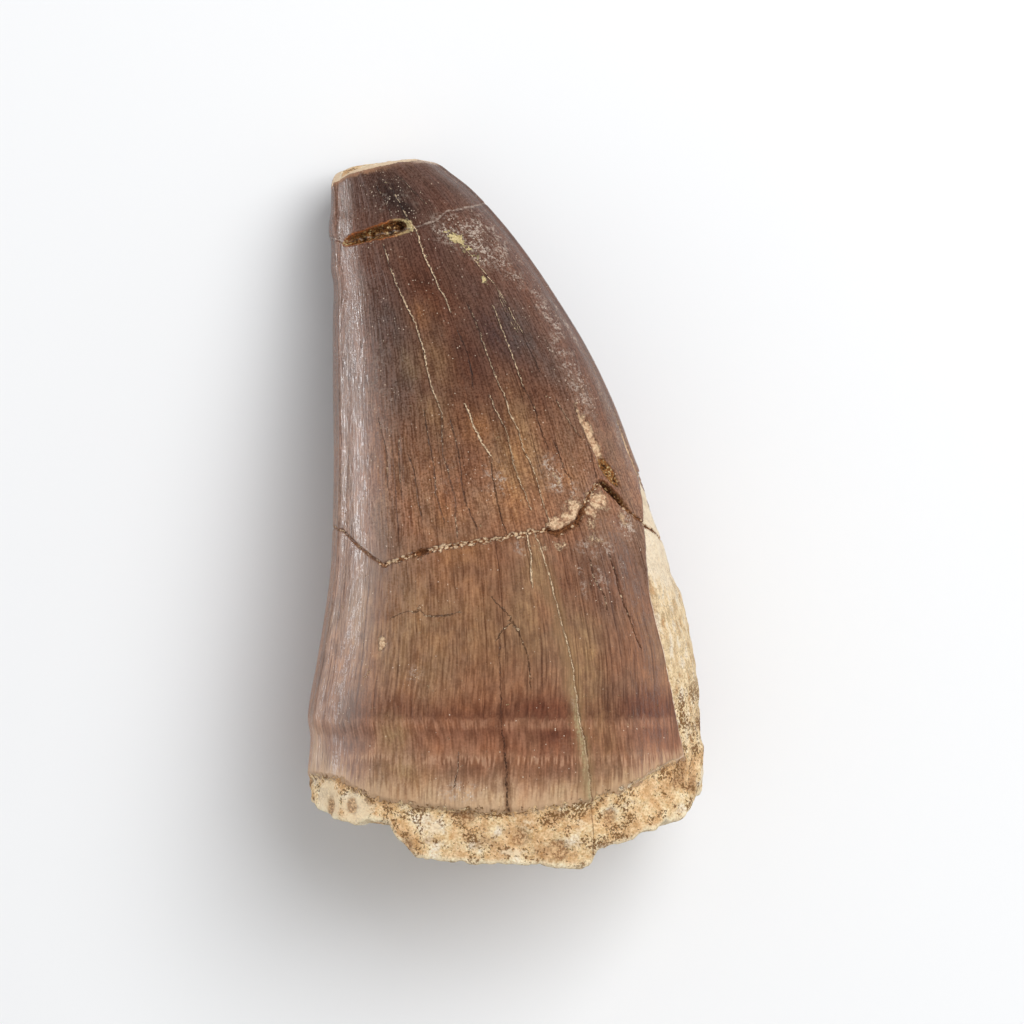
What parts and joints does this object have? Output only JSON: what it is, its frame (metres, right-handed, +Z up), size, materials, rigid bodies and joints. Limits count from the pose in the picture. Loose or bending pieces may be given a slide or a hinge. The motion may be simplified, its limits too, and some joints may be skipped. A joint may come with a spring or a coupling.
{
  "type": "fossil mosasaur tooth",
  "caption": "Fossil marine-reptile tooth crown: a stout curved cone with a worn tip, glued breaks and a ragged broken base, lying on its side.",
  "frame": {"origin": "middle of the outline seen from above, on the surface the tooth lies on", "axes": "+Y from the broken base to the worn tip, +Z up out of the broad face with the long cracks, +X to the convex edge with the bare dentine band"},
  "size_m": [0.0352, 0.0632, 0.027],
  "materials": {
    "fossil_tooth": "satin dark brown enamel with fine lengthwise grain, over matte sandy cream dentine at the broken base and along one edge"
  },
  "bodies": {
    "root": {"tooth": "fossil_tooth"}
  },
  "joints": []
}
